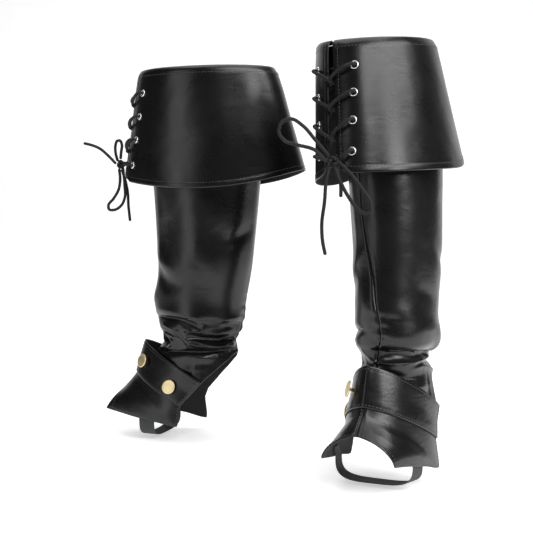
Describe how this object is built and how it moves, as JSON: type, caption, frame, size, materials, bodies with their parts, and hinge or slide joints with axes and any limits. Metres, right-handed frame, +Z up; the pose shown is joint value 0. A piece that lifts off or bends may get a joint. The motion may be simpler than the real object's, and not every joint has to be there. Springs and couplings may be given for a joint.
{
  "type": "pair of laced boot gaiters",
  "caption": "Pair of knee-high boot gaiters in black leathercloth with turned-down laced cuffs, slouched ankles, buttoned instep straps, spats and elastic foot bands, in the form they have when worn.",
  "frame": {"origin": "the centre of the left gaiter's ankle, 0.100 m above the floor that the wearer stands on, where the leg holds it", "axes": "+Z up along the legs, +X to the picture's right, +Y away from the camera; the left toe points to -X -Y and the right toe to -X"},
  "size_m": [0.5119, 0.394, 0.5378],
  "materials": {
    "leathercloth": "smooth semi-gloss black with a fine grain",
    "lace": "matte black braided cord",
    "silver": "polished silver-coloured metal",
    "gold": "satin pale gold-coloured metal",
    "elastic": "matte ribbed dark grey elastic"
  },
  "bodies": {
    "root": {"left_shaft_medial": "leathercloth", "left_shaft_lateral": "leathercloth", "left_cuff": "leathercloth", "left_eyelet_lateral_1": "silver", "left_eyelet_lateral_2": "silver", "left_eyelet_lateral_3": "silver", "left_eyelet_lateral_4": "silver", "left_eyelet_medial_1": "silver", "left_eyelet_medial_2": "silver", "left_eyelet_medial_3": "silver", "left_eyelet_medial_4": "silver", "left_lacing": "lace", "left_bow_knot": "lace", "left_bow_loop_a": "lace", "left_bow_loop_b": "lace", "left_bow_tail_a": "lace", "left_bow_tail_b": "lace", "left_spat_medial": "leathercloth", "left_spat_lateral": "leathercloth", "left_strap": "leathercloth", "left_button_upper": "gold", "left_button_lower": "gold", "left_foot_band": "elastic", "right_shaft_medial": "leathercloth", "right_shaft_lateral": "leathercloth", "right_cuff": "leathercloth", "right_eyelet_lateral_1": "silver", "right_eyelet_lateral_2": "silver", "right_eyelet_lateral_3": "silver", "right_eyelet_lateral_4": "silver", "right_eyelet_medial_1": "silver", "right_eyelet_medial_2": "silver", "right_eyelet_medial_3": "silver", "right_eyelet_medial_4": "silver", "right_lacing": "lace", "right_bow_knot": "lace", "right_bow_loop_a": "lace", "right_bow_loop_b": "lace", "right_bow_tail_a": "lace", "right_bow_tail_b": "lace", "right_spat_medial": "leathercloth", "right_spat_lateral": "leathercloth", "right_strap": "leathercloth", "right_button_upper": "gold", "right_button_lower": "gold", "right_foot_band": "elastic"}
  },
  "joints": []
}
